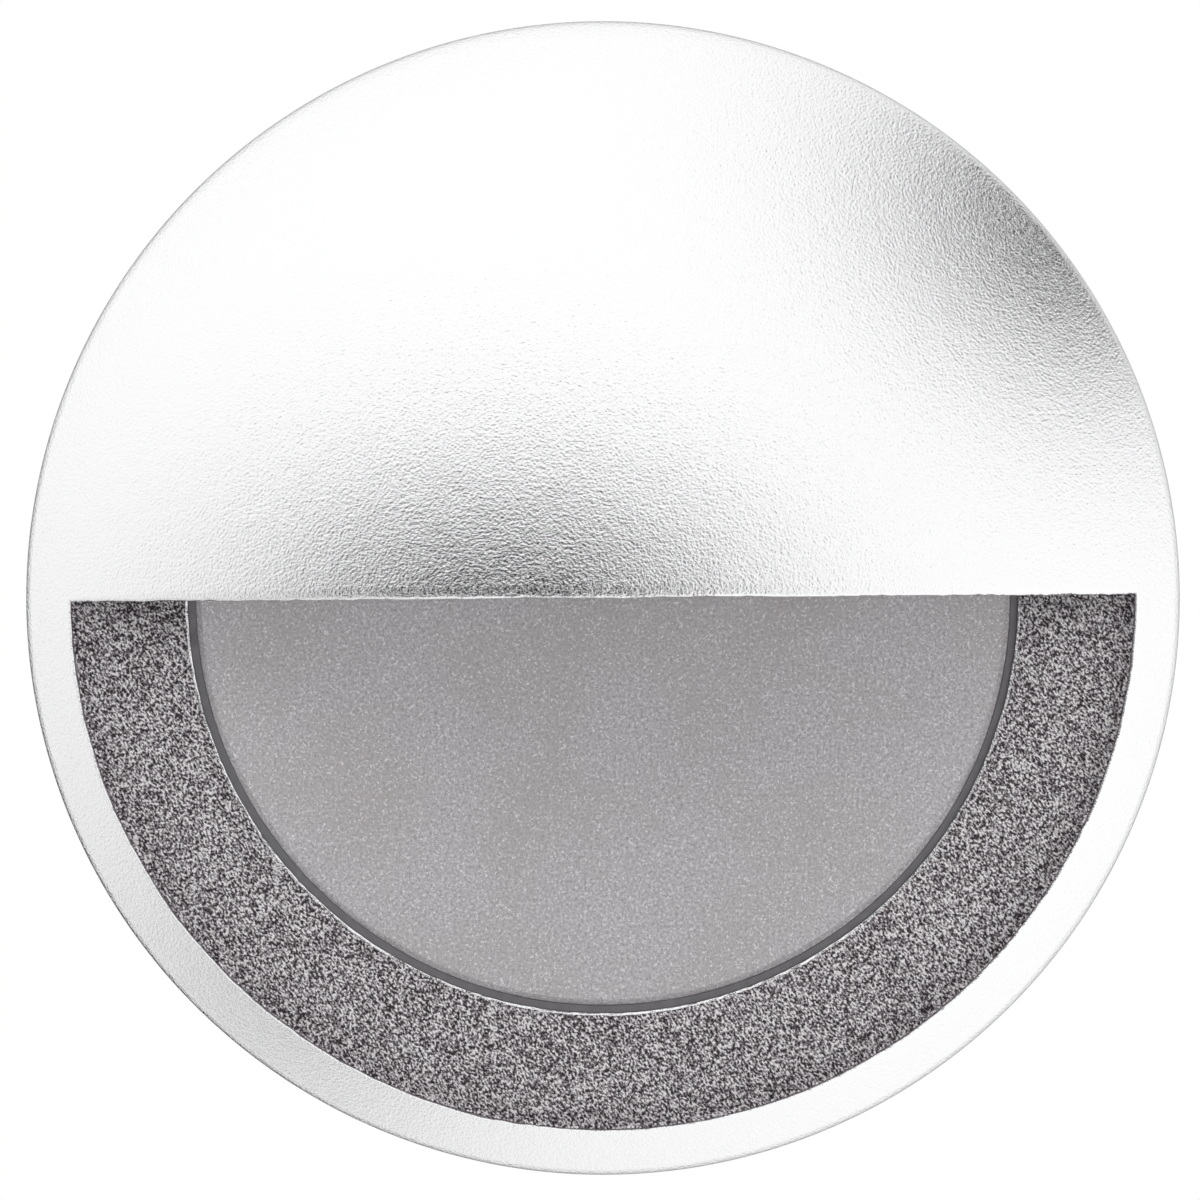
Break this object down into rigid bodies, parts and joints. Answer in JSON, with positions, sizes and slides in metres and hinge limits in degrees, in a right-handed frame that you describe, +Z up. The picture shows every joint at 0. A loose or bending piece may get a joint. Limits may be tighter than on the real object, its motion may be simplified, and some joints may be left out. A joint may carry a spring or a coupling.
{
  "type": "recessed spotlight",
  "caption": "Round wall light sunk into a hollow wall, with a domed silver face whose hood shades the upper half of a frosted glass window, and spring wings behind.",
  "frame": {"origin": "middle of the round hole in the wall, in the wall's surface, where the back of the rim rests", "axes": "+Y into the wall along the body's axis, +Z up towards the hood, +X to the right seen from the front"},
  "size_m": [0.08, 0.0875, 0.08],
  "materials": {
    "cast_aluminium": "die-cast aluminium, blasted, satin silver",
    "frosted_glass": "tempered glass, blasted to a smooth frost",
    "black_rubber": "matt moulded rubber",
    "grey_silicone": "matt cured silicone",
    "zinc_plated_steel": "bright zinc plate",
    "spring_steel": "rolled and drawn stainless spring steel",
    "brass": "plain brass",
    "white_plastic": "moulded white polycarbonate",
    "white_board": "aluminium board with white solder mask",
    "green_board": "glass-epoxy board with green solder mask",
    "thermal_pad_grey": "soft silicone pad",
    "led_phosphor": "silicone lens over yellow phosphor",
    "ferrite": "sintered ferrite",
    "winding_tape": "polyester tape over a wound bobbin",
    "capacitor_sleeve": "shrunk sleeve",
    "fuse_ceramic": "plain ceramic tube",
    "black_plastic": "moulded black nylon",
    "red_insulation": "silicone insulation",
    "black_insulation": "silicone insulation",
    "green_insulation": "silicone insulation"
  },
  "bodies": {
    "body": {"body_o_ring": "black_rubber", "body_screw_1": "zinc_plated_steel", "body_screw_2": "zinc_plated_steel", "body_screw_3": "zinc_plated_steel", "clip_bracket_left": "zinc_plated_steel", "clip_bracket_right": "zinc_plated_steel", "clip_pin_left": "zinc_plated_steel", "clip_pin_right": "zinc_plated_steel", "clip_screw_left": "zinc_plated_steel", "clip_screw_right": "zinc_plated_steel", "clip_spring_left": "spring_steel", "clip_spring_right": "spring_steel", "cover_o_ring": "black_rubber", "cover_screw_1": "zinc_plated_steel", "cover_screw_2": "zinc_plated_steel", "cover_screw_3": "zinc_plated_steel", "driver_board": "green_board", "driver_chip": "black_plastic", "driver_screw_1": "zinc_plated_steel", "driver_screw_2": "zinc_plated_steel", "driver_screw_3": "zinc_plated_steel", "earth_lead": "green_insulation", "earth_lug": "zinc_plated_steel", "earth_screw": "brass", "face_casting": "cast_aluminium", "front_glass": "frosted_glass", "fuse": "fuse_ceramic", "gland_body": "black_plastic", "gland_locknut": "black_plastic", "gland_nut": "black_plastic", "gland_seal": "black_rubber", "gland_washer": "black_rubber", "glass_seal": "grey_silicone", "housing": "cast_aluminium", "lead_grommet": "black_rubber", "led_1": "led_phosphor", "led_2": "led_phosphor", "led_3": "led_phosphor", "led_board": "white_board", "led_board_screw_1": "zinc_plated_steel", "led_board_screw_2": "zinc_plated_steel", "led_lead_black": "black_insulation", "led_lead_red": "red_insulation", "rear_cover": "cast_aluminium", "reflector": "white_plastic", "smoothing_capacitor": "capacitor_sleeve", "terminal_block": "black_plastic", "terminal_screw_1": "zinc_plated_steel", "terminal_screw_2": "zinc_plated_steel", "terminal_screw_3": "zinc_plated_steel", "thermal_pad": "thermal_pad_grey", "transformer_core": "ferrite", "transformer_winding": "winding_tape", "wall_gasket": "black_rubber"},
    "wing_right": {"clip_wing_right": "spring_steel"},
    "wing_left": {"clip_wing_left": "spring_steel"}
  },
  "joints": [
    {"name": "wing_right_hinge", "type": "hinge", "parent": "body", "child": "wing_right", "pos_m": [0.02901, 0.0355, 0], "axis": [0, 0, -1], "range_deg": [0, 18], "stiffness_Nm_per_rad": 0.07, "springref_deg": -45.84, "deforming": ["clip_spring_right"]},
    {"name": "wing_left_hinge", "type": "hinge", "parent": "body", "child": "wing_left", "pos_m": [-0.02901, 0.0355, 0], "axis": [0, 0, 1], "range_deg": [0, 18], "stiffness_Nm_per_rad": 0.07, "springref_deg": -45.84, "deforming": ["clip_spring_left"]}
  ]
}
